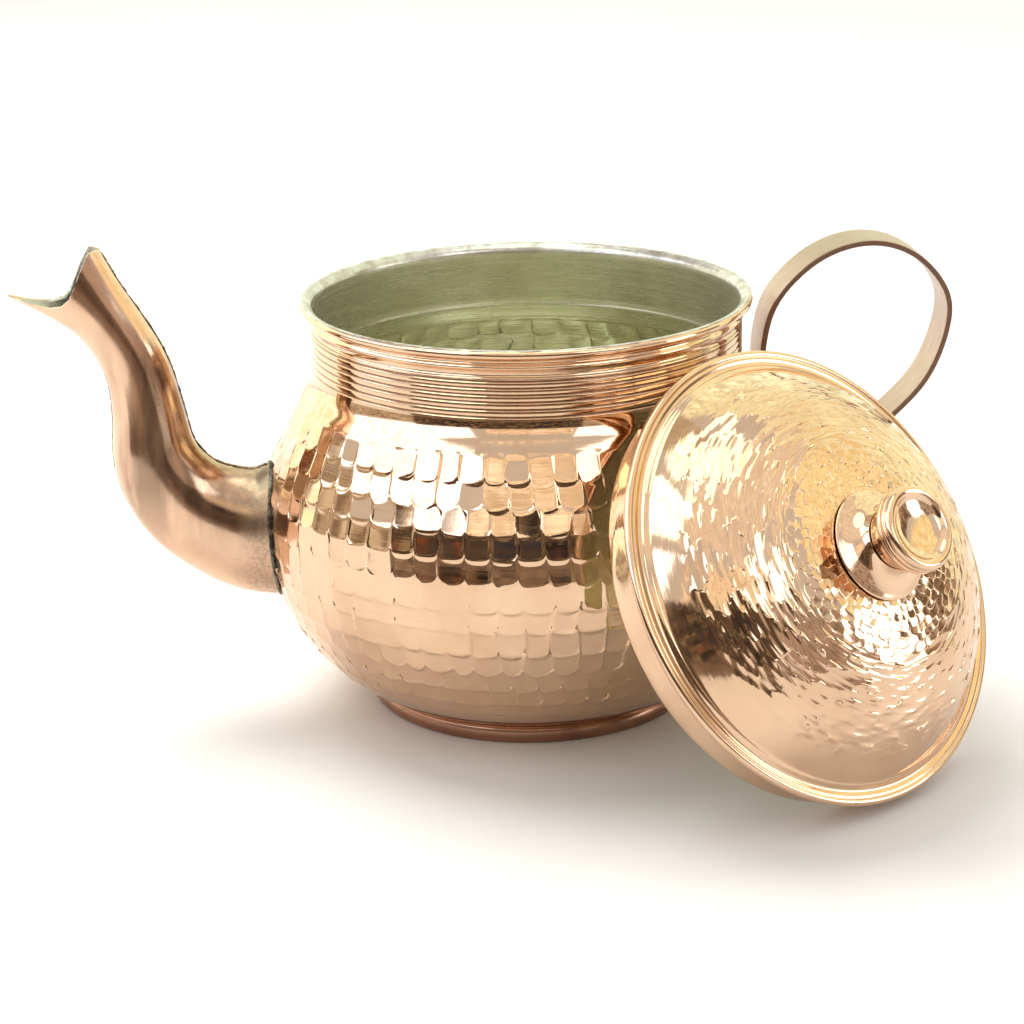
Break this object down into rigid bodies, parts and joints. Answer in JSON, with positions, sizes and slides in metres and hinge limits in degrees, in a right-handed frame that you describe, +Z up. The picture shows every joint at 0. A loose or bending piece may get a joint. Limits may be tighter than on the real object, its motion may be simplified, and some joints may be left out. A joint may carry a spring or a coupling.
{
  "type": "teapot",
  "caption": "Round hammered copper teapot with a ribbed neck, an S-shaped spout, a riveted strap handle and a domed lid with a knob, which leans on the pot.",
  "frame": {"origin": "on the pot's axis, at the underside of its base", "axes": "+Z up along the pot's axis, -X along the spout, +X along the handle, -Y towards the side where the lid leans"},
  "size_m": [0.2825, 0.2133, 0.1451],
  "materials": {
    "hammered_copper": "copper, polished bright, with hammer marks",
    "plain_copper": "copper, smooth and polished",
    "satin_copper": "copper, satin, with fine marks along the metal",
    "tin": "wiped tin lining, grey and dull",
    "solder": "soft solder, dull grey with dark specks",
    "steel": "plain zinc-plated steel"
  },
  "bodies": {
    "pot": {"pot_body": "hammered_copper", "base_plate": "plain_copper", "spout_half_left": "satin_copper", "spout_half_right": "satin_copper", "spout_seam_upper": "solder", "spout_seam_lower": "solder", "spout_solder": "solder", "handle_strap": "plain_copper", "rivet_upper_a": "plain_copper", "rivet_upper_b": "plain_copper", "rivet_lower_a": "plain_copper", "rivet_lower_b": "plain_copper"},
    "lid": {"lid_shell": "hammered_copper", "knob_collar": "plain_copper", "knob_head": "plain_copper", "knob_screw": "steel", "knob_washer": "steel"}
  },
  "joints": [
    {"name": "lid_lift", "type": "slide", "parent": "pot", "child": "lid", "axis": [0.5135, -0.6864, 0.515], "range_m": [0, 0.12]}
  ]
}
